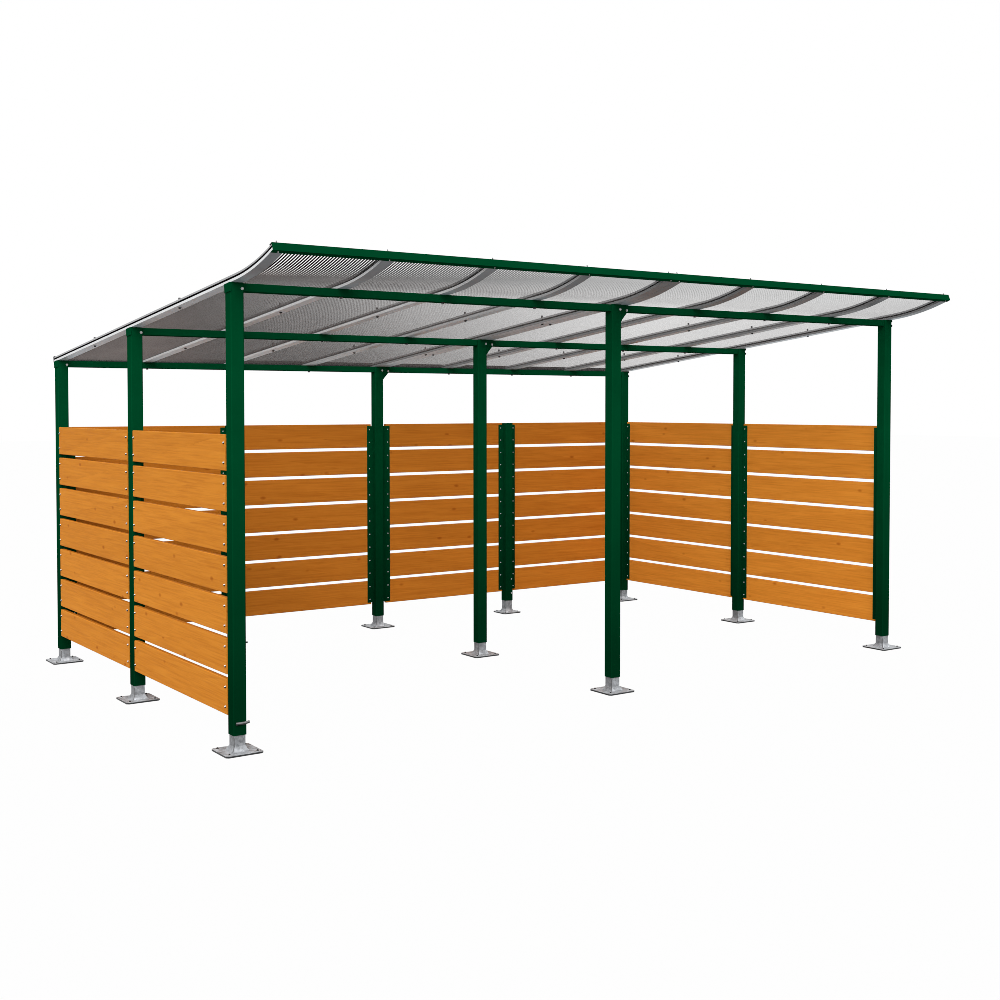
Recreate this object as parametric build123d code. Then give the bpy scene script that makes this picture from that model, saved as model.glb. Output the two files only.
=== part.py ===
from build123d import *
import math
import os

# Open bike shelter: steel posts and beams, slatted timber walls on three sides,
# and a lean-to roof of plastic sheets whose front edge sweeps upwards.
# Millimetres. X runs along the shelter, +Y points to the back wall, Z is up from the ground.

# Plan
module = 2500.0           # length of one roof module, two of them make the shelter
post = 70.0               # square post, outside width
row_pitch = 1442.5        # front row to middle row, and middle row to back row

# Posts and feet
post_wall = 5.0
post_bevel = 4.0          # cut off the tube's upright edges
post_bottom = 89.0        # lower end of a tall post's tube above the ground
short_bottom = 104.0      # the same for the short posts of the back wall
short_shift = 12.0        # the right short post stands this far left of the middle of its bay
hook_bar = 10.0           # bar across the front face of the front left post
hook_bottom = 144.0
hook_start = -24.0        # from the post's middle to the bar's left end
hook_bend = 22.0          # from here the bar rises
hook_end = 46.0           # past the post's right side
hook_rise = 4.0
stub = post - 2 * post_wall
stub_wall = 4.0
stub_top = 240.0          # the foot's stub reaches this far up inside the post
flare = 88.0              # width of the flared neck where the stub meets its plate
flare_height = 26.0
plate = 200.0
short_plate = 172.0       # smaller plate under the two short posts of the back wall
plate_thick = 9.0
plate_bevel = 12.0        # cut off the plate's corners
anchor_hole = 14.0
anchor_inset = 25.0       # from the plate's edge to the hole's centre

# Roof section, measured along the normal of the sloping underside
roof_pitch = 6.0          # degrees
underside = 2338.0        # underside of the rafters above the front row
sweep_start = 87.0        # the curve begins this far in front of the front row
sweep_radius = 1645.0
roof_front = 520.0        # reach of the rafters in front of the front row
roof_back = 57.0          # overhang behind the back row
rafter_height = 13.0
rafter_width = 62.0
rafter_wall = 2.5
sheet_thick = 10.0
cap_height = 11.0
cap_width = 56.0
sheets_per_module = 4
sheet_gap = 12.0          # between neighbouring sheets, over the middle of a rafter
module_gap = 2.0          # between the two modules of the roof
seal = 5.0                # dark edge seal that closes the outer side of an end sheet

# Fascia channel along the front edge and trim along the back edge
fascia_wall = 3.0
fascia_depth = 28.0
trim_wall = 3.0
trim_depth = 20.0

# Beams and their brackets
beam = 40.0
beam_wall = 3.0
bracket_plate = 5.0
bracket_reach = 54.0
bracket_drop = 57.0
bracket_corner = 8.0      # cut off the gusset's upper corner
end_plate_height = 45.0   # plate outside each left post, at the beam's end

# Slatted walls
board_count = 7
board_height = 181.0
board_pitch = 204.7
board_thick = 28.0
board_bevel = 3.0
board_bottom = 180.0      # lower edge of the lowest board
side_end = 48.0           # centre of a post to the end of a board, side walls
short_end = 45.0          # the same at a short post
back_board = 1115.0       # every board of the back wall has this length
angle_wall = 4.0
angle_leg = 26.0
angle_reach = 88.0        # centre of a post to the edge of an angle's flange
short_reach = 82.0        # the same at a short post
wide_reach = 112.0        # the same at the centre post, towards the longer right bay
far_reach = 136.0         # the same at the right post
angle_inset = 14.0        # ends of the angles from the outer edges of the boards

# Places worked out from the sizes above
slope = math.radians(roof_pitch)
left_x = -module + post / 2
centre_x = -post / 2
right_x = module - post / 2
columns = {"left": left_x, "centre": centre_x, "right": right_x}
rows = {"front": 0.0, "middle": row_pitch, "back": 2 * row_pitch}
short_posts = {"left": (left_x + centre_x) / 2, "right": (centre_x + right_x) / 2 - short_shift}
board_top = board_bottom + (board_count - 1) * board_pitch + board_height
roof_top = rafter_height + sheet_thick + cap_height
sheet_pitch = module / sheets_per_module
sweep_centre = (-sweep_start + sweep_radius * math.sin(slope),
                underside + sweep_start * math.tan(slope) + sweep_radius * math.cos(slope))
front_angle = math.asin((sweep_centre[0] + roof_front) / sweep_radius)
fascia_tip = roof_front + fascia_wall * (math.sin(front_angle) + math.cos(front_angle))
front_row_y = (fascia_tip - rows["back"] - plate / 2) / 2


def save(name, *solids):
    shape = solids[0] if len(solids) == 1 else Compound(children=list(solids))
    export_step(Pos(0, front_row_y, 0) * shape, f"parts/{name}.step")


def underside_at(y):
    return underside - y * math.tan(slope)


def sweep_point(offset, angle):
    """Point of the curved front, at an offset from the underside and an angle from the vertical."""
    radius = sweep_radius - offset
    return (sweep_centre[0] - radius * math.sin(angle), sweep_centre[1] - radius * math.cos(angle))


def straight_point(offset, y):
    """Point of the straight slope, at an offset square to the underside."""
    return (y + offset * math.sin(slope), underside_at(y) + offset * math.cos(slope))


def roof_run(section):
    """Sweep a section along the roof: straight from the back, then curving up to the front.

    In the section, x runs along the shelter and y is the height above the rafters' underside.
    """
    back = straight_point(0, rows["back"] + roof_back)
    bend = sweep_point(0, slope)
    middle = sweep_point(0, (slope + front_angle) / 2)
    front = sweep_point(0, front_angle)
    path = Plane.YZ * Wire([Line(back, bend), ThreePointArc(bend, middle, front)])
    start = Plane((0, *back), x_dir=(1, 0, 0), z_dir=(0, -math.cos(slope), math.sin(slope)))
    return sweep(start * section, path=path)


def roof_layer(low, high, x0, x1):
    """Plain layer of the roof between two heights above the underside."""
    return roof_run(Pos((x0 + x1) / 2, (low + high) / 2) * Rectangle(x1 - x0, high - low))


def bevelled(width, height, bevel):
    """Rectangle with its four corners cut off."""
    return chamfer(Rectangle(width, height).vertices(), length=bevel)


def post_tube(length):
    bore = post - 2 * post_wall
    return extrude(bevelled(post, post, post_bevel) - Rectangle(bore, bore), amount=length)


def full_post(x, y):
    """Post tube cut along the roof slope, so that the rafter above it sits flat."""
    tube = Pos(x, y, post_bottom) * post_tube(underside)
    roof_plane = Plane((0, y, underside_at(y)), x_dir=(1, 0, 0), z_dir=(0, math.sin(slope), math.cos(slope)))
    return split(tube, bisect_by=roof_plane, keep=Keep.BOTTOM)


def hooked_post(x, y):
    """Tall post with a short hook across its front face, which ends past the post's right side."""
    outline = Polyline((hook_start, 0), (hook_bend, 0), (hook_end, hook_rise), (hook_end, hook_rise + hook_bar),
                       (hook_bend, hook_bar), (hook_start, hook_bar), close=True)
    root = post_wall / 2
    hook = extrude(Plane.XZ * make_face(outline), amount=hook_bar + root)
    return full_post(x, y) + Pos(x, y - post / 2 + root, hook_bottom) * hook


def short_post(x):
    tube = post_tube(board_top - short_bottom)
    lid = Pos(0, 0, board_top - short_bottom - post_wall)
    lid *= extrude(Rectangle(stub, stub), amount=post_wall)
    return Pos(x, rows["back"], short_bottom) * (tube + lid)


def foot(x, y, width):
    """Base plate with four anchor holes, a flared neck and the stub that slides into the post."""
    base = extrude(bevelled(width, width, plate_bevel), amount=plate_thick)
    tube = Rectangle(stub, stub)
    spread = math.degrees(math.atan((flare - stub) / 2 / flare_height))
    neck = Pos(0, 0, plate_thick + flare_height) * extrude(tube, amount=-flare_height, taper=-spread)
    stem = Pos(0, 0, plate_thick) * extrude(tube, amount=stub_top - plate_thick)
    bore = stub - 2 * stub_wall
    hollow = Pos(0, 0, plate_thick) * extrude(Rectangle(bore, bore), amount=stub_top)
    spacing = width - 2 * anchor_inset
    holes = Sketch() + GridLocations(spacing, spacing, 2, 2) * Circle(anchor_hole / 2)
    return Pos(x, y, 0) * (base + neck + stem - hollow - extrude(holes, amount=plate_thick))


def roof_beam(x0, x1, y):
    """Square tube between two posts, tilted so that its top lies in the rafters' underside."""
    bore = beam - 2 * beam_wall
    tube = Rot(0, 90, 0) * extrude(Rectangle(beam, beam) - Rectangle(bore, bore), amount=x1 - x0)
    return Pos(x0, y, underside_at(y)) * Rot(-roof_pitch, 0, 0) * Pos(0, 0, -beam / 2) * tube


def beam_bracket(x, y):
    """Flat leg on the post's side, and a gusset plate over the front face of the beam's end."""
    depth = beam + bracket_plate
    height = beam + bracket_drop
    leg = Pos(0, -beam / 2 - bracket_plate, -height)
    leg *= Box(bracket_plate, depth, height, align=(Align.MIN, Align.MIN, Align.MIN))
    outline = Polyline((0, 0), (bracket_reach - bracket_corner, 0), (bracket_reach, -bracket_corner),
                       (bracket_reach, -beam), (0, -height), close=True)
    gusset = Pos(0, -beam / 2, 0) * extrude(Plane.XZ * make_face(outline), amount=bracket_plate)
    return Pos(x, y, underside_at(y)) * Rot(-roof_pitch, 0, 0) * (leg + gusset)


def end_plate(x, y):
    """Plate on the outer side of a left post, as high as the beam whose bolts it carries."""
    plate_box = Box(bracket_plate, post, end_plate_height, align=(Align.MAX, Align.CENTER, Align.MAX))
    return Pos(x, y, underside_at(y)) * Rot(-roof_pitch, 0, 0) * plate_box


def rafter(x0, x1):
    """Shallow hollow rafter under the joint of two sheets."""
    width = x1 - x0
    hollow = Rectangle(width - 2 * rafter_wall, rafter_height - 2 * rafter_wall)
    return roof_run(Pos((x0 + x1) / 2, rafter_height / 2) * (Rectangle(width, rafter_height) - hollow))


def cap_strip(x0, x1):
    """Cover strip that clamps two sheets down."""
    return roof_layer(rafter_height + sheet_thick, roof_top, x0, x1)


def fascia(x0, x1):
    """Channel that wraps the front ends of rafters, sheets and caps."""
    wall = fascia_wall
    inner = wall - fascia_depth
    section = Polyline((wall, -wall), (wall, roof_top + wall), (inner, roof_top + wall), (inner, roof_top),
                       (0, roof_top), (0, 0), (inner, 0), (inner, -wall), close=True)
    y, z = sweep_point(0, front_angle)
    forward = (0, -math.cos(front_angle), math.sin(front_angle))
    frame = Plane((x0, y, z), x_dir=forward, z_dir=(-1, 0, 0))
    return extrude(frame * make_face(section), amount=-(x1 - x0))


def back_trim(x0, x1):
    """Channel that closes the low end of the roof."""
    wall = trim_wall
    section = Polyline((wall, -wall), (wall, roof_top + wall), (-trim_depth, roof_top + wall),
                       (-trim_depth, roof_top), (0, roof_top), (0, 0), (-trim_depth, 0),
                       (-trim_depth, -wall), close=True)
    y, z = straight_point(0, rows["back"] + roof_back)
    rearward = (0, math.cos(slope), -math.sin(slope))
    frame = Plane((x0, y, z), x_dir=rearward, z_dir=(1, 0, 0))
    return extrude(frame * make_face(section), amount=x1 - x0)


def board_stack(length):
    """Boards of one wall panel, one above the other, centred on the panel and lying along X."""
    section = bevelled(board_thick, board_height, board_bevel)
    board = Pos(-length / 2, 0, 0) * extrude(Plane.YZ * section, amount=length)
    first = board_bottom + board_height / 2
    return [Pos(0, 0, first + i * board_pitch) * board for i in range(board_count)]


def wall_panel(start, end, turn, x, y):
    """Boards between two distances along a wall, turned about Z and placed at the wall's post line."""
    depth = post / 2 - board_thick / 2
    place = Pos(x, y, 0) * Rot(0, 0, turn) * Pos((start + end) / 2, depth, 0)
    return [place * board for board in board_stack(end - start)]


def board_angle(along, side, turn, x, y, reach=angle_reach):
    """Upright angle on a post's side: a leg on the post and a flange behind the board ends."""
    low = board_bottom + angle_inset
    height = board_top - angle_inset - low
    flange_face = post / 2 - board_thick
    width = reach - post / 2
    leg = Box(angle_wall, angle_leg, height, align=(Align.MIN, Align.MIN, Align.MIN))
    flange = Box(width, angle_wall, height, align=(Align.MIN, Align.MIN, Align.MIN))
    shape = Pos(post / 2, flange_face - angle_wall, low) * (leg + flange)
    if side < 0:
        shape = mirror(shape, about=Plane.YZ)
    return Pos(x, y, 0) * Rot(0, 0, turn) * Pos(along, 0, 0) * shape


def make_posts():
    for row, y in rows.items():
        for column, x in columns.items():
            make = hooked_post if (row, column) == ("front", "left") else full_post
            save(f"post_{row}_{column}", make(x, y))
    for side, x in short_posts.items():
        save(f"short_post_{side}", short_post(x))


def make_feet():
    for row, y in rows.items():
        save(f"feet_{row}", *[foot(x, y, plate) for x in columns.values()])
    save("feet_short", *[foot(x, rows["back"], short_plate) for x in short_posts.values()])


def make_beams():
    half = post / 2
    for row, y in rows.items():
        left = roof_beam(left_x + half, centre_x - half, y)
        right = roof_beam(centre_x + half + bracket_plate, right_x - half, y)
        save(f"beams_{row}", left, right)
    brackets = [beam_bracket(centre_x + half, y) for y in rows.values()]
    plates = [end_plate(left_x - half, y) for y in rows.values()]
    save("beam_brackets", *brackets, *plates)


def module_rafter_edges(start):
    """Left and right edges of a module's rafters: the outer two lie inside the module's ends."""
    edges = []
    for i in range(sheets_per_module + 1):
        middle = start + i * sheet_pitch
        lowest = start + module_gap / 2
        highest = start + module - module_gap / 2
        left = min(max(middle - rafter_width / 2, lowest), highest - rafter_width)
        edges.append((left, left + rafter_width))
    return edges


def make_roof():
    sheet_low = rafter_height
    sheet_high = rafter_height + sheet_thick
    number = 0
    for side, start in (("left", -module), ("right", 0.0)):
        edges = module_rafter_edges(start)
        inset = (rafter_width - cap_width) / 2
        save(f"rafters_{side}", *[rafter(a, b) for a, b in edges])
        save(f"caps_{side}", *[cap_strip(a + inset, b - inset) for a, b in edges])
        for i in range(sheets_per_module):
            number += 1
            x0 = start + i * sheet_pitch + sheet_gap / 2
            x1 = start + (i + 1) * sheet_pitch - sheet_gap / 2
            save(f"roof_sheet_{number}", roof_layer(sheet_low, sheet_high, x0, x1))
    outside = module - sheet_gap / 2
    save("edge_seals", roof_layer(sheet_low, sheet_high, -outside - seal, -outside),
         roof_layer(sheet_low, sheet_high, outside, outside + seal))
    save("front_fascia", fascia(-module, module))
    save("back_trim", back_trim(-module, module))


def make_walls():
    back_panels = []
    for x in short_posts.values():
        back_panels.append((x - short_end - back_board, x - short_end))
        back_panels.append((x + short_end, x + short_end + back_board))
    for number, (start, end) in enumerate(back_panels, 1):
        save(f"back_boards_{number}", *wall_panel(start, end, 0, 0, rows["back"]))
    for side, x, turn in (("left", left_x, 90), ("right", right_x, -90)):
        along = 1 if side == "left" else -1
        for bay, row in (("front", "front"), ("rear", "middle")):
            near = along * rows[row]
            far = along * (rows[row] + row_pitch)
            start = min(near, far) + side_end
            end = max(near, far) - side_end
            save(f"{side}_boards_{bay}", *wall_panel(start, end, turn, x, 0))


def make_angles():
    back_y = rows["back"]
    pieces = [board_angle(left_x, 1, 0, 0, back_y), board_angle(centre_x, -1, 0, 0, back_y),
              board_angle(centre_x, 1, 0, 0, back_y, wide_reach),
              board_angle(right_x, -1, 0, 0, back_y, far_reach)]
    for x in short_posts.values():
        pieces += [board_angle(x, side, 0, 0, back_y, short_reach) for side in (-1, 1)]
    save("back_angles", *pieces)
    for wall, x, turn, along in (("left", left_x, 90, 1), ("right", right_x, -90, -1)):
        sides = [("front", along), ("middle", -along), ("middle", along), ("back", -along)]
        save(f"{wall}_angles", *[board_angle(along * rows[row], side, turn, x, 0) for row, side in sides])


os.makedirs("parts", exist_ok=True)
make_posts()
make_feet()
make_beams()
make_roof()
make_walls()
make_angles()
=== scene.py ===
import math

import bpy
from mathutils import Matrix, Vector

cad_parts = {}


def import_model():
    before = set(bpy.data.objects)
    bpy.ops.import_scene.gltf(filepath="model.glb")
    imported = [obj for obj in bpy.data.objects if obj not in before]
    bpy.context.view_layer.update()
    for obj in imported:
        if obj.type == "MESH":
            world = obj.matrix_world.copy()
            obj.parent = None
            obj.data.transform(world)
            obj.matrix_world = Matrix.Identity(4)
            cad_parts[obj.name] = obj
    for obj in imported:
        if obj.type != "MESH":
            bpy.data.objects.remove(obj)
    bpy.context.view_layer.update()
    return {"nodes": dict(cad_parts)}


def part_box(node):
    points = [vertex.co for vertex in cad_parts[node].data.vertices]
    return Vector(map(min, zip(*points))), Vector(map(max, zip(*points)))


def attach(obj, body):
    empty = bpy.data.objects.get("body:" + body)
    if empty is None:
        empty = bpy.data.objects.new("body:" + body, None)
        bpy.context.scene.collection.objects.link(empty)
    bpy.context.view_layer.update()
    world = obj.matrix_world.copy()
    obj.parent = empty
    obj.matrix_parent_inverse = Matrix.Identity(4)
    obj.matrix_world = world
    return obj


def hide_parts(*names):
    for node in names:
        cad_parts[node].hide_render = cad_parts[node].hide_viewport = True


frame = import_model()
nodes = frame["nodes"]

# Metres, in the part's own frame: +X along the shelter, +Y to the back wall, +Z up.

# Roof section, as in the part
ROOF_PITCH = math.radians(6.0)
UNDERSIDE = 2.338            # underside of the rafters above the front posts
SWEEP_START = 0.087          # the upward curve begins this far in front of the front posts
SWEEP_RADIUS = 1.645
SWEEP_STEPS = 14             # straight pieces that stand for the curve
ROOF_FRONT = 0.520           # reach of the rafters in front of the front posts
ROOF_BACK = 0.057            # overhang behind the back posts
RAFTERS = 5                  # in each of the roof's two modules
RAFTER_HEIGHT = 0.013
RAFTER_WIDTH = 0.062
SHEETS = 8
SHEET_THICK = 0.010
CAP_HEIGHT = 0.011
ROOF_TOP = RAFTER_HEIGHT + SHEET_THICK + CAP_HEIGHT
FASCIA_WALL = 0.003
FASCIA_SCREW = 0.012         # from the fascia's front to its screws

# Twin-wall sheet
RIB_PITCH = 0.017
SKIN_THICK = 0.0005
CAP_COVER = 0.022            # the cap strip and its gasket hide this much of a sheet's edge; the dark strips there are partly painted shade
GASKET_HALF = 0.0003         # half the thickness of a gasket strip
SKIN, RIB, GASKET_AND_SHADE = range(3)     # places in a sheet's list of materials

# Walls
BOARDS = 7
BOARD_BOTTOM = 0.180
BOARD_PITCH = 0.2047
BOARD_HEIGHT = 0.181
BOARD_THICK = 0.028
FLANGE_THICK = 0.004
BOLT_LEVELS = (-0.051, 0.049)    # board bolts, from the middle of a board
SIDE_BOLT = 0.064            # centre of a post to the bolts of a board's end, side walls
BACK_BOLT = 0.069            # the same in the back wall
WIDE_BOLT = 0.093            # the same at the centre post, towards the longer right bay
FAR_BOLT = 0.117             # the same at the right post
SHORT_BOLT = 0.063           # the same at a short post

# Posts, beams and their bolts
POST_HALF = 0.035
BEAM = 0.040
GUSSET_THICK = 0.005
NUT_CLEARANCE = 0.06         # a nut nearer than this to a post's centre is left out
FRAME_BOLT_SIDE = 0.026      # beam bolt on a post's front face, to the right of its middle
FRAME_BOLT_DROP = 0.006      # and below the beam's middle
GUSSET_BOLT_SIDE = 0.047     # bolt on a gusset, from the post's side
GUSSET_BOLT_DROP = 0.012     # and below the beam's middle
END_BOLT_FRONT = 0.027       # bolts outside a right post, in front of its middle
END_BOLT_LEVELS = (-0.017, 0.017)    # and from the beam's middle

# Feet
PLATE_HALF = 0.100
SHORT_PLATE_HALF = 0.086
PLATE_THICK = 0.009
ANCHOR_INSET = 0.025
FLARE_HALF = 0.044
FLARE_TOP = 0.035
STUB_HALF = 0.030
STUB_BOLTS = (0.164, 0.283)  # heights of the bolts that hold a post to its foot
SHORT_STUB_SIDE = 0.020      # the same bolts on a short post, to the right of its middle
CORNER_LINE_HALF = 0.0012
CORNER_LINE_TOP = 0.075

# Hook on the front left post
HOOK_LEVEL = 0.149           # middle of the bar
HOOK_RADIUS = 0.0073
HOOK_OUT = 0.005             # from the post's face to the middle of the bar
HOOK_LINE = ((-0.0245, 0.0), (0.022, 0.0), (0.0465, 0.004))    # from the post's middle, and rise

# Bolts and washers
ROUND = 16                   # sides of a dome or rod
WASHER_ROUND = 20            # sides of a washer under a six-sided head
SMALL_WASHER = 0.0015        # thickness of the washer under a dome
DOME_SPREAD = 1.25           # radius of a washer under a dome, as a share of the dome's
HEX_SPREAD = 1.45            # the same under a six-sided head

# Colours: pairs of a darker and a lighter tone
GREEN = ((0.0003, 0.051, 0.0165), (0.0004, 0.057, 0.0185))
ZINC = ((0.235, 0.243, 0.255), (0.40, 0.413, 0.432))
RAFTER_TONES = ((0.69, 0.70, 0.71), (0.76, 0.77, 0.78))
RAFTER_SHADE = ((0.31, 0.33, 0.35), (0.97, 1.08, 1.16))      # painted shade factors, front overhang and bays
CAP_TONES = ((0.36, 0.36, 0.37), (0.42, 0.42, 0.43))
TRIM_TONES = ((0.03, 0.03, 0.032), (0.055, 0.055, 0.058))
BLACK_STEEL = ((0.006, 0.006, 0.007), (0.02, 0.02, 0.021))
ANCHOR_STEEL = ((0.05, 0.05, 0.052), (0.16, 0.16, 0.165))
SHEET_DUST = ((0.74, 0.70, 0.69), (0.88, 0.85, 0.84))
RIB_HAZE = ((0.19, 0.165, 0.158), (0.23, 0.20, 0.19))
PAINTED_REFLECTION_DARK = (0.006, 0.006, 0.007)    # painted reflection of the dark below on round metal, one tone

# Timber
WOOD = ((0.71, 0.248, 0.030), (0.76, 0.273, 0.035), (0.80, 0.300, 0.041))
# Factor for each wall: the stain's tone, with painted shade in it that darkens the back wall most.
STAIN_AND_SHADE = {"left": (0.853, 0.87, 0.77), "back": (0.734, 0.66, 0.55), "right": (0.93, 0.93, 0.87)}
GRAIN_SHIFT = (7.3, 5.1, 3.7)    # moves the grain from board to board

EXTRUDED = (900, 3, 3)       # draws noise out into fine lines along the roof's profiles
FINE_BUMP = 0.0004           # depth of fine lines and orange peel
SHADE_TOP = 2.4              # the green paint's painted shade is spread over this height

# Light, floor and camera
SUN_DIRECTION = (0.55, 0.64, -0.54)
SUN_STRENGTH = 3.1
SUN_SPREAD = math.radians(55.0)
AMBIENT = 0.60
FLOOR_GREY = 0.30            # grey that throws light up to the object
FLOOR_WHITE = 0.985          # share of plain white in the floor that is seen
FLOOR_HALF = 60.0
FLOOR_LEVEL = -0.0005
CAMERA_LENS = 47.51          # millimetres, on a sensor of 36
CAMERA_SHIFT = (-0.0160, -0.0518)
CAMERA_AWAY = (-2.6613, -6.1593)     # from the centre of the front left post
CAMERA_HEIGHT = 1.7306
CAMERA_DOWN = math.radians(1.826)
CAMERA_RIGHT = math.radians(35.375)


def middle(node):
    """Middle of a solid's box."""
    low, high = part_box(node)
    return (low + high) / 2


COLUMN_X = {column: middle(f"post_back_{column}").x for column in ("left", "centre", "right")}
ROW_Y = {row: middle(f"post_{row}_centre").y for row in ("front", "middle", "back")}
SHORT_X = [middle(f"short_post_{side}").x for side in ("left", "right")]
FRONT_Y = ROW_Y["front"]
BACK_Y = ROW_Y["back"]


# Roof geometry

def underside_at(y):
    return UNDERSIDE - (y - FRONT_Y) * math.tan(ROOF_PITCH)


SWEEP_CENTRE = (FRONT_Y - SWEEP_START + SWEEP_RADIUS * math.sin(ROOF_PITCH),
                UNDERSIDE + SWEEP_START * math.tan(ROOF_PITCH) + SWEEP_RADIUS * math.cos(ROOF_PITCH))
FRONT_ANGLE = math.asin((SWEEP_CENTRE[0] - FRONT_Y + ROOF_FRONT) / SWEEP_RADIUS)
ROOF_UP = Vector((0, math.sin(ROOF_PITCH), math.cos(ROOF_PITCH)))
FASCIA_UP = Vector((0, math.sin(FRONT_ANGLE), math.cos(FRONT_ANGLE)))


def slope_point(x, y, offset):
    """Point above the straight part of the roof's underside, measured square to it."""
    return Vector((x, y, underside_at(y))) + offset * ROOF_UP


def sweep_point(x, angle, offset):
    """Point above the curved front of the roof's underside."""
    radius = SWEEP_RADIUS - offset
    return Vector((x, SWEEP_CENTRE[0] - radius * math.sin(angle), SWEEP_CENTRE[1] - radius * math.cos(angle)))


def roof_line(x, offset):
    """Points from the back edge of the roof to its front edge."""
    points = [slope_point(x, BACK_Y + ROOF_BACK, offset)]
    for i in range(SWEEP_STEPS + 1):
        angle = ROOF_PITCH + (FRONT_ANGLE - ROOF_PITCH) * i / SWEEP_STEPS
        points.append(sweep_point(x, angle, offset))
    return points


def rafter_lines():
    """X of the middle of each rafter: the outer ones of a module lie inside its ends."""
    lines = []
    for side in ("left", "right"):
        low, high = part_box(f"rafters_{side}")
        for i in range(RAFTERS):
            x = low.x + i * (high.x - low.x) / (RAFTERS - 1)
            lines.append(min(max(x, low.x + RAFTER_WIDTH / 2), high.x - RAFTER_WIDTH / 2))
    return lines


# Mesh helpers

def add_piece(name, shape, materials, face_materials=None):
    verts, faces = shape
    mesh = bpy.data.meshes.new(name)
    mesh.from_pydata([tuple(v) for v in verts], [], faces)
    for material in materials:
        mesh.materials.append(material)
    if face_materials:
        mesh.polygons.foreach_set("material_index", face_materials)
    mesh.update()
    piece = bpy.data.objects.new(name, mesh)
    bpy.context.scene.collection.objects.link(piece)
    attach(piece, "root")
    return piece


def merged(shapes):
    """One shape from several, each given as points and faces."""
    verts = []
    faces = []
    for shape_verts, shape_faces in shapes:
        start = len(verts)
        verts += shape_verts
        faces += [tuple(start + i for i in face) for face in shape_faces]
    return verts, faces


def lofted(rings):
    """Closed solid through rings of equal point count, each ring counter-clockwise seen from the last one."""
    count = len(rings[0])
    verts = [point for ring in rings for point in ring]
    faces = [tuple(range(count - 1, -1, -1))]
    for k in range(len(rings) - 1):
        a = k * count
        b = a + count
        for i in range(count):
            j = (i + 1) % count
            faces.append((a + i, a + j, b + j, b + i))
    faces.append(tuple(range(len(verts) - count, len(verts))))
    return verts, faces


def circle(sides):
    """Angles of the corners of a many-sided ring."""
    return [2 * math.pi * (i + 0.5) / sides for i in range(sides)]


def turned(profile, sides):
    """Round or many-sided solid from (radius, height) pairs, with its axis along Z."""
    rings = []
    for radius, height in profile:
        rings.append([Vector((radius * math.cos(a), radius * math.sin(a), height)) for a in circle(sides)])
    return lofted(rings)


def roof_bar(x0, x1, low, high):
    """Bar that follows the roof from back to front, between two heights above the underside."""
    corners = ((x0, low), (x1, low), (x1, high), (x0, high))
    lines = [roof_line(x, offset) for x, offset in corners]
    return lofted([list(ring) for ring in zip(*lines)])


def roof_strip(x, low, high):
    """Upright strip of no thickness that follows the roof from back to front."""
    bottom = roof_line(x, low)
    top = roof_line(x, high)
    count = len(bottom)
    faces = [(i, i + 1, count + i + 1, count + i) for i in range(count - 1)]
    return bottom + top, faces


def copies(shape, places):
    """One joined shape with a copy at each (point, outward direction)."""
    placed = []
    for point, outward in places:
        turn = Vector((0, 0, 1)).rotation_difference(Vector(outward)).to_matrix().to_4x4()
        place = Matrix.Translation(point) @ turn
        placed.append(([place @ v for v in shape[0]], shape[1]))
    return merged(placed)


def washer(radius, thick, sides):
    return turned([(radius, 0), (radius, thick)], sides)


def dome_bolt(radius, height):
    """Button head on a thin washer."""
    shares = ((1.0, 0.0), (1.0, 0.3), (0.88, 0.62), (0.6, 0.88), (0.2, 1.0))
    head = turned([(radius * wide, SMALL_WASHER + height * tall) for wide, tall in shares], ROUND)
    return merged([washer(radius * DOME_SPREAD, SMALL_WASHER, ROUND), head])


def hex_bolt(radius, height, base):
    """Six-sided head on a washer of a given thickness."""
    shares = ((1.0, 0.0), (1.0, 0.85), (0.86, 1.0))
    head = turned([(radius * wide, base + height * tall) for wide, tall in shares], sides=6)
    return merged([washer(radius * HEX_SPREAD, base, WASHER_ROUND), head])


# Material helpers

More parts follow.
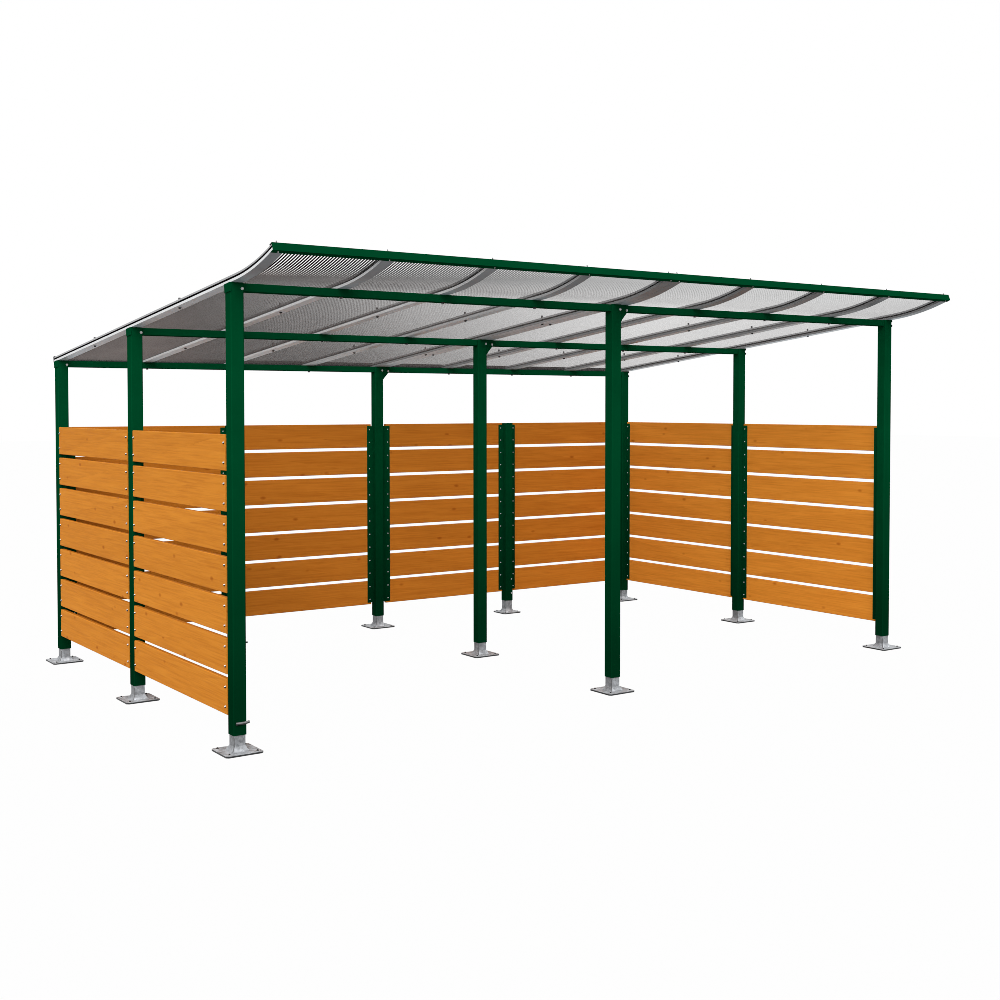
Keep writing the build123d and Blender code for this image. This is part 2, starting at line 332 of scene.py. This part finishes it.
class Nodes:
    """Small wrapper that adds and links the nodes of one material."""

    def __init__(self, name):
        self.material = bpy.data.materials.new(name)
        self.material.use_nodes = True
        self.tree = self.material.node_tree
        self.shader = self.tree.nodes["Principled BSDF"]

    def add(self, kind, **settings):
        node = self.tree.nodes.new(kind)
        for key, value in settings.items():
            if hasattr(node, key):
                setattr(node, key, value)
            else:
                node.inputs[key.replace("_", " ")].default_value = value
        return node

    def link(self, source, target):
        self.tree.links.new(source, target)

    def coordinates(self, scale=(1, 1, 1)):
        place = self.add("ShaderNodeTexCoord")
        mapping = self.add("ShaderNodeMapping", Scale=scale)
        self.link(place.outputs["Object"], mapping.inputs["Vector"])
        return mapping.outputs["Vector"]

    def noise(self, vector, scale, detail=4.0, roughness=0.55):
        node = self.add("ShaderNodeTexNoise", Scale=scale, Detail=detail, Roughness=roughness)
        self.link(vector, node.inputs["Vector"])
        return node.outputs["Fac"]

    def ramp(self, value, stops):
        """Colours, or greys where a stop holds one number."""
        node = self.add("ShaderNodeValToRGB")
        elements = node.color_ramp.elements
        elements.remove(elements[1])
        elements[0].position = stops[0][0]
        for i, (position, color) in enumerate(stops):
            element = elements[0] if i == 0 else elements.new(position)
            element.color = (*color, 1.0) if isinstance(color, tuple) else (color, color, color, 1.0)
        self.link(value, node.inputs["Fac"])
        return node.outputs["Color"]

    def between(self, value, pair, low=0.3, high=0.7):
        """The first colour of a pair up to a low value, and the second from a high value on."""
        return self.ramp(value, [(low, pair[0]), (high, pair[1])])

    def times(self, first, second, share=1.0):
        """Product of two colours, mixed in by a share that is a number or a socket."""
        node = self.add("ShaderNodeMix", data_type="RGBA", blend_type="MULTIPLY")
        if isinstance(share, float):
            node.inputs[0].default_value = share
        else:
            self.link(share, node.inputs[0])
        self.link(first, node.inputs[6])
        self.link(second, node.inputs[7])
        return node.outputs[2]

    def span(self, value, low, high, start=0.0, end=1.0):
        """Number that goes from low to high as a value goes from start to end."""
        node = self.add("ShaderNodeMapRange", From_Min=start, From_Max=end, To_Min=low, To_Max=high)
        self.link(value, node.inputs["Value"])
        return node.outputs["Result"]

    def on_axis(self, vector, axis, start, end):
        split = self.add("ShaderNodeSeparateXYZ")
        self.link(vector, split.inputs["Vector"])
        return self.span(split.outputs[axis], 0.0, 1.0, start, end)

    def along(self, axis, start, end):
        """Value that rises from 0 to 1 between two places on one axis of the object."""
        return self.on_axis(self.add("ShaderNodeTexCoord").outputs["Object"], axis, start, end)

    def turned_to(self, axis, start, end):
        """Value that rises from 0 to 1 as the surface's normal turns along one axis."""
        return self.on_axis(self.add("ShaderNodeNewGeometry").outputs["Normal"], axis, start, end)

    def bump(self, height, strength, distance=FINE_BUMP):
        node = self.add("ShaderNodeBump", Strength=strength, Distance=distance)
        self.link(height, node.inputs["Height"])
        self.link(node.outputs["Normal"], self.shader.inputs["Normal"])

    def paint(self, color, roughness, **values):
        self.link(color, self.shader.inputs["Base Color"])
        self.link(roughness, self.shader.inputs["Roughness"])
        for key, value in values.items():
            self.shader.inputs[key.replace("_", " ")].default_value = value

    def blend(self, factor, first, second):
        """Mix two shaders by a socket or a number."""
        node = self.add("ShaderNodeMixShader")
        if isinstance(factor, float):
            node.inputs["Fac"].default_value = factor
        else:
            self.link(factor, node.inputs["Fac"])
        self.link(first, node.inputs[1])
        self.link(second, node.inputs[2])
        return node.outputs["Shader"]

    def show(self, shader):
        """Use a mixed shader for the surface."""
        self.link(shader, self.tree.nodes["Material Output"].inputs["Surface"])


# Materials

def green_paint():
    """Matt powder coat with a fine orange peel, and painted shade that darkens it near the ground and under
    the roof.
    """
    n = Nodes("green_paint")
    vector = n.coordinates()
    color = n.between(n.noise(vector, scale=6.0, detail=3.0), GREEN)
    # Painted shade by height: darker near the ground and under the roof.
    height = n.along("Z", 0.0, SHADE_TOP)
    shade = n.ramp(height, [(0.1, 0.44), (0.21, 0.55), (0.42, 0.76), (0.63, 0.96), (0.83, 1.0), (0.95, 0.86)])
    peel = n.noise(vector, scale=900.0, detail=2.0)
    n.paint(n.times(color, shade), n.span(peel, 0.40, 0.52), Specular_IOR_Level=0.0)
    n.bump(peel, 0.1)
    return n.material


def galvanised():
    """Hot-dip zinc: crystal flakes over a cloudy coat, with a painted highlight from the plate's top up the
    neck, and painted shade on the plate's edge and on faces turned to the left.
    """
    n = Nodes("galvanised_steel")
    vector = n.coordinates()
    flakes = n.add("ShaderNodeTexVoronoi", Scale=75.0)
    n.link(vector, flakes.inputs["Vector"])
    cloud = n.noise(vector, scale=26.0, detail=5.0)
    tone = n.between(flakes.outputs["Color"], ZINC, 0.0, 1.0)
    coat = n.between(cloud, (0.55, 1.0), 0.35, 0.65)
    # Painted light by height: a painted highlight from the plate's top up the neck, and painted shade on the
    # plate's edge.
    height = n.along("Z", 0.0, 2 * FLARE_TOP)
    level = n.ramp(height, [(0.115, 0.10), (0.125, 1.6), (0.2, 1.9), (0.45, 1.3), (0.55, 1.0)])
    # Painted shade on faces turned to the left.
    left = n.between(n.turned_to("X", -0.4, -0.9), (1.0, 0.64), 0.0, 1.0)
    color = n.times(n.times(n.times(tone, coat), level), left)
    n.paint(color, n.span(cloud, 0.32, 0.55), Metallic=0.1, Specular_IOR_Level=0.3)
    n.bump(cloud, 0.25, 0.001)
    return n.material


def bolt_zinc():
    """Bright zinc of the small bolts, slightly cloudy."""
    n = Nodes("bolt_zinc")
    cloud = n.noise(n.coordinates(), scale=120.0, detail=3.0)
    n.paint(n.between(cloud, (0.42, 0.58)), n.span(cloud, 0.3, 0.45), Metallic=0.3)
    return n.material


def painted_reflection_metal(name, light, horizon):
    """Round metal with a painted reflection: light where the surface faces up, dark where it faces down."""
    n = Nodes(name)
    cloud = n.noise(n.coordinates(), scale=200.0, detail=2.0)
    # Painted reflection: light where the surface faces up, dark where it faces down.
    upward = n.turned_to("Z", -1.0, 1.0)
    painted_reflection = n.between(upward, (PAINTED_REFLECTION_DARK, light), horizon, horizon + 0.14)
    n.paint(n.times(painted_reflection, n.between(cloud, (0.85, 1.0))), n.span(cloud, 0.25, 0.4))
    return n.material


def rafter_metal():
    """Dull metal with fine lines; painted shade darkens the undersides in front and to the right and the left
    sides inwards, and painted light brightens the undersides at the right end.
    """
    n = Nodes("rafter_metal")
    lines = n.noise(n.coordinates(EXTRUDED), scale=1.0, detail=3.0)
    # Painted shade: undersides darker on the front overhang and to the right, with painted light at the right
    # end; left sides darker inwards.
    front = n.between(n.along("Y", FRONT_Y - 0.30, FRONT_Y + 0.15), RAFTER_SHADE, 0.0, 1.0)
    length = n.along("X", COLUMN_X["left"], COLUMN_X["right"])
    right = n.ramp(length, [(0.25, 1.0), (0.75, 0.72), (0.97, 0.72), (1.0, 1.2)])
    inner = n.between(length, (1.0, 0.30), 0.2, 0.5)
    below = n.times(n.between(lines, RAFTER_TONES), n.times(front, right), n.turned_to("Z", -0.3, -0.8))
    color = n.times(below, inner, n.turned_to("X", -0.3, -0.8))
    n.paint(color, n.span(lines, 0.35, 0.5), Metallic=0.2, Specular_IOR_Level=0.1)
    n.bump(lines, 0.1)
    return n.material


def cap_metal():
    """Extruded metal, oxidised dull, with fine lines along the strip."""
    n = Nodes("cap_metal")
    lines = n.noise(n.coordinates(EXTRUDED), scale=1.0, detail=3.0)
    cloud = n.noise(n.coordinates(), scale=9.0)
    color = n.times(n.between(lines, CAP_TONES), n.between(cloud, (0.9, 1.0)))
    n.paint(color, n.span(lines, 0.30, 0.42), Specular_IOR_Level=0.3)
    n.bump(lines, 0.1)
    return n.material


def dark_metal(name, tones, roughness):
    """Dark coated metal with a slightly uneven finish."""
    n = Nodes(name)
    cloud = n.noise(n.coordinates(), scale=60.0)
    n.paint(n.between(cloud, tones), n.span(cloud, roughness - 0.08, roughness + 0.08), Metallic=0.3)
    return n.material


def rubber():
    """Black extruded rubber with a dull, faintly dusty surface."""
    n = Nodes("black_seal")
    dust = n.noise(n.coordinates(), scale=140.0, detail=5.0)
    n.paint(n.between(dust, (0.002, 0.006), 0.4, 0.8), n.span(dust, 0.55, 0.75), Specular_IOR_Level=0.0)
    return n.material


def gasket():
    """Grey rubber between rafter and cap, with painted shade that darkens it on the front overhang and
    painted light that makes it pale at the right end.
    """
    n = Nodes("gasket_painted_shade")
    dust = n.noise(n.coordinates(), scale=140.0, detail=5.0)
    # Painted shade on the front overhang, painted light at the right end.
    front = n.between(n.along("Y", FRONT_Y - 0.10, FRONT_Y + 0.10), (0.20, 1.0), 0.0, 1.0)
    right = n.between(n.along("X", COLUMN_X["left"], COLUMN_X["right"]), (1.0, 4.0), 0.93, 1.0)
    color = n.times(n.times(n.between(dust, (0.11, 0.15), 0.4, 0.8), front), right)
    n.paint(color, n.span(dust, 0.55, 0.75), Specular_IOR_Level=0.0)
    return n.material


def timber(wall, grain_axis):
    """Stained softwood with grain along one axis, a tone for each board, small knots, and painted shade for
    each wall.
    """
    n = Nodes(f"timber_{wall}")
    board = n.add("ShaderNodeNewGeometry").outputs["Random Per Island"]
    shift = n.add("ShaderNodeVectorMath", operation="SCALE")
    shift.inputs[0].default_value = GRAIN_SHIFT
    n.link(board, shift.inputs["Scale"])

    def stretched(lengthwise, across):
        """Coordinates shifted for each board and drawn out along the grain."""
        scale = (lengthwise, across, across) if grain_axis == "X" else (across, lengthwise, across)
        move = n.add("ShaderNodeVectorMath", operation="ADD")
        n.link(n.coordinates(scale), move.inputs[0])
        n.link(shift.outputs["Vector"], move.inputs[1])
        return move.outputs["Vector"]

    broad = n.noise(stretched(1.2, 14.0), scale=2.2, detail=5.0, roughness=0.6)
    streak = n.noise(stretched(3.0, 95.0), scale=1.0, detail=4.0, roughness=0.65)
    knots = n.add("ShaderNodeTexVoronoi", Scale=1.0)
    n.link(stretched(4.5, 9.0), knots.inputs["Vector"])
    # The wall's factor brings the stain's tone and that wall's painted shade.
    stained_and_shaded = [tuple(c * s for c, s in zip(tone, STAIN_AND_SHADE[wall])) for tone in WOOD]
    body = n.ramp(broad, list(zip((0.25, 0.5, 0.75), stained_and_shaded)))
    grain = n.between(streak, ((0.84, 0.78, 0.70), 1.0), 0.32, 0.58)
    knot = n.between(knots.outputs["Distance"], ((0.62, 0.45, 0.34), 1.0), 0.05, 0.13)
    tone = n.between(board, ((0.95, 0.93, 0.90), 1.03), 0.0, 1.0)
    wood = n.times(n.times(n.times(body, grain), knot, 0.8), tone)
    n.paint(wood, n.span(streak, 0.5, 0.65), Specular_IOR_Level=0.02)
    n.bump(streak, 0.2, 0.0006)
    return n.material


def clear_skin():
    """Clear plastic under a thin film of dust that glows with light from above, cleaner in front."""
    n = Nodes("clear_sheet")
    dust = n.noise(n.coordinates((1, 0.25, 1)), scale=5.0, detail=6.0)
    color = n.between(dust, SHEET_DUST)
    n.paint(color, n.span(dust, 0.2, 0.3), Specular_IOR_Level=0.05)
    glow = n.add("ShaderNodeBsdfTranslucent")
    n.link(color, glow.inputs["Color"])
    film = n.blend(0.7, n.shader.outputs["BSDF"], glow.outputs["BSDF"])
    clear = n.add("ShaderNodeBsdfTransparent")
    cover = n.between(n.along("Y", FRONT_Y - 0.40, FRONT_Y + 0.15), (0.01, 0.02), 0.0, 1.0)
    n.show(n.blend(cover, clear.outputs["BSDF"], film))
    return n.material


def clear_rib():
    """Rib of a sheet: clear where it is seen square on, dark where the view grazes it, with painted shade
    that darkens it in front.
    """
    n = Nodes("sheet_rib")
    haze = n.noise(n.coordinates((1, 0.3, 1)), scale=8.0, detail=5.0)
    front = n.along("Y", FRONT_Y - 0.40, FRONT_Y + 0.10)
    # Painted shade: the rib's colour and the light it lets through are darker in front.
    color = n.times(n.between(haze, RIB_HAZE), n.between(front, (0.02, 1.0), 0.15, 0.45))
    n.paint(color, n.span(haze, 0.35, 0.5), Specular_IOR_Level=0.0)
    view = n.add("ShaderNodeLayerWeight", Blend=0.5)
    graze = n.add("ShaderNodeMath", operation="ADD")
    n.link(view.outputs["Facing"], graze.inputs[0])
    n.link(n.span(front, 0.11, 0.0), graze.inputs[1])
    through = n.ramp(graze.outputs[0], [(0.35, 0.90), (0.40, 0.82), (0.44, 0.74), (0.49, 0.60), (0.545, 0.33),
                                        (0.61, 0.13), (0.655, 0.0)])
    clear = n.add("ShaderNodeBsdfTransparent")
    n.link(n.times(through, n.between(front, (0.85, 1.0), 0.0, 1.0)), clear.inputs["Color"])
    cover = n.ramp(graze.outputs[0], [(0.30, 0.05), (0.40, 0.08), (0.50, 0.20), (0.61, 0.30), (0.66, 0.75)])
    n.show(n.blend(cover, clear.outputs["BSDF"], n.shader.outputs["BSDF"]))
    return n.material


# Pieces

def twin_wall_sheet(number, materials):
    """Clear sheet with upright ribs, in place of the plain solid; dark gasket strips fill it under the caps,
    partly as painted shade.
    """
    node = f"roof_sheet_{number}"
    low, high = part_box(node)
    cells = round((high.x - low.x) / RIB_PITCH)
    pitch = (high.x - low.x) / cells
    bottom = RAFTER_HEIGHT
    top = bottom + SHEET_THICK
    shapes = [roof_bar(low.x, high.x, bottom, top)]
    kinds = [SKIN]
    for i in range(1, cells):
        x = low.x + i * pitch
        # Dark gasket strips under the caps stand in part for painted shade there.
        if min(x - low.x, high.x - x) < CAP_COVER:
            shapes.append(roof_bar(x - GASKET_HALF, x + GASKET_HALF, bottom + SKIN_THICK, top - SKIN_THICK))
            kinds.append(GASKET_AND_SHADE)
        else:
            shapes.append(roof_strip(x, bottom + SKIN_THICK, top - SKIN_THICK))
            kinds.append(RIB)
    face_kinds = [kind for (_, faces), kind in zip(shapes, kinds) for _ in faces]
    piece = add_piece(f"ribbed_sheet_{number}", merged(shapes), materials, face_kinds)
    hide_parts(node)


def hook_rod(steel):
    """Round bar over the hook of the front left post."""
    rings = []
    for side, rise in HOOK_LINE:
        centre = Vector((COLUMN_X["left"] + side, FRONT_Y - POST_HALF - HOOK_OUT, HOOK_LEVEL + rise))
        rings.append([centre + HOOK_RADIUS * Vector((0, math.cos(a), math.sin(a))) for a in circle(ROUND)])
    add_piece("hook_rod", lofted(rings), [steel])


def dark_corner_lines(steel):
    """Dark line down the front left edge of each tall foot's stub and neck."""
    corners = [(sx * CORNER_LINE_HALF, sy * CORNER_LINE_HALF) for sx, sy in ((-1, -1), (1, -1), (1, 1), (-1, 1))]
    seams = []
    for x in COLUMN_X.values():
        for y in ROW_Y.values():
            rings = []
            for reach, z in ((FLARE_HALF, PLATE_THICK), (STUB_HALF, FLARE_TOP), (STUB_HALF, CORNER_LINE_TOP)):
                rings.append([Vector((x - reach + dx, y - reach + dy, z)) for dx, dy in corners])
            seams.append(lofted(rings))
    add_piece("dark_corner_lines", merged(seams), [steel])


def board_bolt_places():
    """Bolts at the board ends: on the boards' faces outside, and on the flanges that show inside."""
    inside = []
    outside = []
    flange = POST_HALF - BOARD_THICK - FLANGE_THICK
    back_lines = [COLUMN_X["left"] + BACK_BOLT, COLUMN_X["centre"] - BACK_BOLT,
                  COLUMN_X["centre"] + WIDE_BOLT, COLUMN_X["right"] - FAR_BOLT]
    back_lines += [x + side * SHORT_BOLT for x in SHORT_X for side in (-1, 1)]
    side_lines = [ROW_Y["front"] + SIDE_BOLT, ROW_Y["middle"] - SIDE_BOLT,
                  ROW_Y["middle"] + SIDE_BOLT, ROW_Y["back"] - SIDE_BOLT]
    for board in range(BOARDS):
        for rise in BOLT_LEVELS:
            z = BOARD_BOTTOM + board * BOARD_PITCH + BOARD_HEIGHT / 2 + rise
            inside += [((x, BACK_Y + flange, z), (0, -1, 0)) for x in back_lines]
            outside += [((x, BACK_Y + POST_HALF, z), (0, 1, 0)) for x in back_lines]
            for column, out in (("left", -1), ("right", 1)):
                x = COLUMN_X[column]
                inside += [((x + out * flange, y, z), (-out, 0, 0)) for y in side_lines[1::2]]
                outside += [((x + out * POST_HALF, y, z), (out, 0, 0)) for y in side_lines]
    return inside, outside


def anchor_places():
    """Corners of the foot plates."""
    feet = [(x, y, PLATE_HALF) for x in COLUMN_X.values() for y in ROW_Y.values()]
    feet += [(x, BACK_Y, SHORT_PLATE_HALF) for x in SHORT_X]
    places = []
    for x, y, half in feet:
        reach = half - ANCHOR_INSET
        for sx in (-1, 1):
            for sy in (-1, 1):
                places.append(((x + sx * reach, y + sy * reach, PLATE_THICK), (0, 0, 1)))
    return places


def roof_bolt_places():
    """Bolts through cap, sheet and rafter in the middle of each bay: domes below, nuts above."""
    rows = list(ROW_Y.values())
    bays = [(rows[0] + rows[1]) / 2, (rows[1] + rows[2]) / 2]
    spots = [(x, y) for x in rafter_lines() for y in bays]
    below = [(slope_point(x, y, 0), -ROOF_UP) for x, y in spots]
    above = [(slope_point(x, y, ROOF_TOP), ROOF_UP) for x, y in spots]
    return below, above


def beam_nut_places():
    """Nuts of the rafter bolts under the beams, away from the posts."""
    places = []
    for y in ROW_Y.values():
        for x in rafter_lines():
            if min(abs(x - column) for column in COLUMN_X.values()) > NUT_CLEARANCE:
                places.append((slope_point(x, y, -BEAM), -ROOF_UP))
    return places


def fascia_screw_places():
    """Screws through the upper and lower lip of the fascia, at each rafter."""
    angle = FRONT_ANGLE - FASCIA_SCREW / SWEEP_RADIUS
    above = [(sweep_point(x, angle, ROOF_TOP + FASCIA_WALL), FASCIA_UP) for x in rafter_lines()]
    below = [(sweep_point(x, angle, -FASCIA_WALL), -FASCIA_UP) for x in rafter_lines()]
    return above, below


def frame_bolt_places():
    """Bolts of the beam joints: on the posts' front faces and on the gussets."""
    places = []
    outward = Vector((0, -math.cos(ROOF_PITCH), math.sin(ROOF_PITCH)))
    for y in ROW_Y.values():
        z = underside_at(y) - BEAM / 2 - FRAME_BOLT_DROP
        for column in ("left", "centre"):
            places.append(((COLUMN_X[column] + FRAME_BOLT_SIDE, y - POST_HALF, z), (0, -1, 0)))
        gusset_x = COLUMN_X["centre"] + POST_HALF + GUSSET_BOLT_SIDE
        gusset = slope_point(gusset_x, y, -BEAM / 2 - GUSSET_BOLT_DROP)
        places.append((gusset + outward * (BEAM / 2 + GUSSET_THICK), outward))
    return places


def end_bolt_places():
    """Pairs of bolts at the beams' ends, on the outer side of the right posts."""
    places = []
    x = COLUMN_X["right"] + POST_HALF
    for y in ROW_Y.values():
        z = underside_at(y) - BEAM / 2
        places += [((x, y - END_BOLT_FRONT, z + rise), (1, 0, 0)) for rise in END_BOLT_LEVELS]
    return places


def post_bolt_places():
    """Bolts that hold each tall post to the stub of its foot."""
    places = []
    for x in COLUMN_X.values():
        for y in ROW_Y.values():
            places += [((x + POST_HALF, y, z), (1, 0, 0)) for z in STUB_BOLTS]
    return places


def short_bolt_places():
    """The same on the inner face of the short posts."""
    y = BACK_Y - POST_HALF
    return [((x + SHORT_STUB_SIDE, y, z), (0, -1, 0)) for x in SHORT_X for z in STUB_BOLTS]


# Stage

def camera():
    """Camera solved from the photo."""
    data = bpy.data.cameras.new("camera")
    data.lens = CAMERA_LENS
    data.shift_x, data.shift_y = CAMERA_SHIFT
    data.clip_end = 200.0
    view = bpy.data.objects.new("camera", data)
    view.location = (COLUMN_X["left"] + CAMERA_AWAY[0], FRONT_Y + CAMERA_AWAY[1], CAMERA_HEIGHT)
    view.rotation_euler = (math.pi / 2 - CAMERA_DOWN, 0.0, -CAMERA_RIGHT)
    bpy.context.scene.collection.objects.link(view)
    bpy.context.scene.camera = view


def sun():
    data = bpy.data.lights.new("key", "SUN")
    data.energy = SUN_STRENGTH
    data.angle = SUN_SPREAD
    lamp = bpy.data.objects.new("key", data)
    lamp.rotation_euler = Vector(SUN_DIRECTION).to_track_quat("-Z", "Y").to_euler()
    bpy.context.scene.collection.objects.link(lamp)


def seen_directly(tree):
    """1 for camera, mirror and see-through rays, 0 for the light that falls on the object."""
    path = tree.nodes.new("ShaderNodeLightPath")
    total = path.outputs["Is Camera Ray"]
    for name in ("Is Glossy Ray", "Is Transmission Ray"):
        highest = tree.nodes.new("ShaderNodeMath")
        highest.operation = "MAXIMUM"
        tree.links.new(total, highest.inputs[0])
        tree.links.new(path.outputs[name], highest.inputs[1])
        total = highest.outputs[0]
    return total


def world():
    """White where it is seen, and a weaker white light on the object."""
    studio = bpy.data.worlds.new("studio")
    studio.use_nodes = True
    tree = studio.node_tree
    background = tree.nodes["Background"]
    background.inputs["Color"].default_value = (1.0, 1.0, 1.0, 1.0)
    level = tree.nodes.new("ShaderNodeMapRange")
    level.inputs["To Min"].default_value = AMBIENT
    level.inputs["To Max"].default_value = 1.0
    tree.links.new(seen_directly(tree), level.inputs["Value"])
    tree.links.new(level.outputs["Result"], background.inputs["Strength"])
    bpy.context.scene.world = studio


def floor():
    """Floor that sends a grey light up to the object, and is seen as white with a faint shadow."""
    sides = ((-1, -1), (1, -1), (1, 1), (-1, 1))
    corners = [(sx * FLOOR_HALF, sy * FLOOR_HALF, FLOOR_LEVEL) for sx, sy in sides]
    mesh = bpy.data.meshes.new("floor")
    mesh.from_pydata(corners, [], [(0, 1, 2, 3)])
    n = Nodes("pale_floor")
    n.shader.inputs["Base Color"].default_value = (FLOOR_GREY, FLOOR_GREY, FLOOR_GREY, 1.0)
    n.shader.inputs["Roughness"].default_value = 0.9
    n.shader.inputs["Specular IOR Level"].default_value = 0.0
    glow = n.add("ShaderNodeEmission", Strength=1.0)
    share = n.span(seen_directly(n.tree), 0.0, FLOOR_WHITE)
    n.show(n.blend(share, n.shader.outputs["BSDF"], glow.outputs["Emission"]))
    mesh.materials.append(n.material)
    plane = bpy.data.objects.new("floor", mesh)
    bpy.context.scene.collection.objects.link(plane)


# The dressed part

def dress_nodes():
    """Give every solid of the part its material: green paint, unless its name says otherwise."""
    green = green_paint()
    by_prefix = {
        "feet": galvanised(),
        "rafters": rafter_metal(),
        "caps": cap_metal(),
        "back_trim": dark_metal("dark_trim", TRIM_TONES, roughness=0.5),
        "edge_seals": rubber(),
        "left_boards": timber("left", grain_axis="Y"),
        "back_boards": timber("back", grain_axis="X"),
        "right_boards": timber("right", grain_axis="Y"),
    }
    for node in nodes:
        found = [material for prefix, material in by_prefix.items() if node.startswith(prefix)]
        mesh = nodes[node].data
        mesh.materials.clear()
        mesh.materials.append(found[0] if found else green)


def add_sheets():
    materials = [clear_skin(), clear_rib(), gasket()]
    for number in range(1, SHEETS + 1):
        twin_wall_sheet(number, materials)


def add_fasteners():
    """Bolts, nuts and screws, one piece for each kind."""
    bright = bolt_zinc()
    # Painted highlight on the tops of the outside board bolts, and painted shade below them.
    painted_shine = painted_reflection_metal("bolt_painted_reflection", light=0.85, horizon=0.50)
    black = dark_metal("black_bolt", BLACK_STEEL, roughness=0.32)
    grey = dark_metal("anchor_steel", ANCHOR_STEEL, roughness=0.4)
    inside, outside = board_bolt_places()
    below_rafter, above_cap = roof_bolt_places()
    above_fascia, below_fascia = fascia_screw_places()
    kinds = [
        ("board_bolts_inside", dome_bolt(radius=0.004, height=0.004), inside, bright),
        ("board_bolts_outside", dome_bolt(radius=0.0055, height=0.006), outside, painted_shine),
        ("anchor_washers", washer(radius=0.0115, thick=0.0015, sides=WASHER_ROUND), anchor_places(), bright),
        ("ground_anchors", hex_bolt(radius=0.0045, height=0.005, base=0.0025), anchor_places(), black),
        ("rafter_bolts", dome_bolt(radius=0.0075, height=0.007), below_rafter, black),
        ("cap_nuts", hex_bolt(radius=0.0065, height=0.018, base=0.002), above_cap, black),
        ("beam_nuts", hex_bolt(radius=0.0075, height=0.007, base=0.002), beam_nut_places(), black),
        ("fascia_screws", hex_bolt(radius=0.003, height=0.015, base=0.001), above_fascia, grey),
        ("fascia_bolts", dome_bolt(radius=0.003, height=0.003), below_fascia, bright),
        ("frame_bolts", dome_bolt(radius=0.0065, height=0.006), frame_bolt_places(), bright),
        ("end_bolts", dome_bolt(radius=0.008, height=0.010), end_bolt_places(), black),
        ("post_bolts", dome_bolt(radius=0.006, height=0.005), post_bolt_places(), black),
        ("short_bolts", dome_bolt(radius=0.0045, height=0.004), short_bolt_places(), bright),
    ]
    for name, shape, places, material in kinds:
        add_piece(name, copies(shape, places), [material])
    dark_corner_lines(grey)
    # The hook's rod gets a painted highlight on its top and painted shade on its underside.
    hook_rod(painted_reflection_metal("hook_painted_light", light=0.20, horizon=0.54))


dress_nodes()
add_sheets()
add_fasteners()
floor()
world()
sun()
camera()
bpy.context.scene.view_settings.view_transform = "Standard"

# A narrow pixel filter and an unsmoothed denoiser keep the fine stripes of the sheets sharp.
bpy.context.scene.cycles.filter_width = 0.8
bpy.context.scene.cycles.denoising_prefilter = "NONE"
